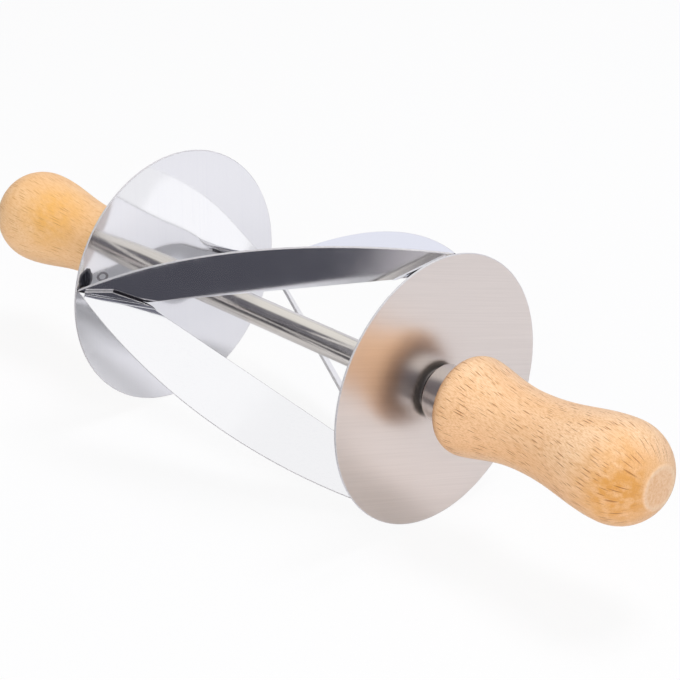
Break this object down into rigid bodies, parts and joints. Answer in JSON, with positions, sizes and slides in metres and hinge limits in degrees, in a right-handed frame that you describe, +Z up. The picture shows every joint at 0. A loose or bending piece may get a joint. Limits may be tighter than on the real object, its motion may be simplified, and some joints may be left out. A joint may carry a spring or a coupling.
{
  "type": "croissant cutter roller",
  "caption": "Hand roller for pastry: steel end discs joined by slanted zigzag blades cut dough into triangles as the drum spins between turned wooden handles.",
  "frame": {"origin": "middle of the drum, on the rolling axis", "axes": "+X along the rolling axis towards the satin disc, +Z up with the roller lying on its discs, -Y towards the front"},
  "size_m": [0.3214, 0.095, 0.095],
  "materials": {
    "mirror_steel": "mirror polished stainless sheet",
    "satin_steel": "satin brushed stainless sheet",
    "polished_tube": "drawn and polished stainless tube",
    "plain_steel": "plain turned steel",
    "beech": "turned beech, satin lacquer",
    "white_nylon": "natural nylon",
    "black_nylon": "black nylon"
  },
  "bodies": {
    "drum": {"left_disc": "mirror_steel", "right_disc": "satin_steel", "front_upper_blade": "mirror_steel", "front_lower_blade": "mirror_steel", "rear_upper_blade": "mirror_steel", "rear_lower_blade": "mirror_steel", "left_rim_welds": "plain_steel", "right_rim_welds": "plain_steel", "axle_tube": "polished_tube", "left_tube_insert": "plain_steel", "right_tube_insert": "plain_steel", "left_hub_ring": "plain_steel", "right_hub_ring": "plain_steel", "left_stub_axle": "plain_steel", "right_stub_axle": "plain_steel", "left_thrust_washer": "black_nylon", "right_thrust_washer": "black_nylon", "left_head_washer": "plain_steel", "right_head_washer": "plain_steel"},
    "left_grip": {"left_handle": "beech", "left_ferrule": "polished_tube", "left_inner_bush": "white_nylon", "left_outer_bush": "white_nylon"},
    "right_grip": {"right_handle": "beech", "right_ferrule": "polished_tube", "right_inner_bush": "white_nylon", "right_outer_bush": "white_nylon"}
  },
  "joints": [
    {"name": "left_handle_spin", "type": "hinge", "parent": "drum", "child": "left_grip", "pos_m": [-0.0969, 0, 0], "axis": [1, 0, 0], "continuous": true},
    {"name": "right_handle_spin", "type": "hinge", "parent": "drum", "child": "right_grip", "pos_m": [0.0969, 0, 0], "axis": [1, 0, 0], "continuous": true}
  ]
}
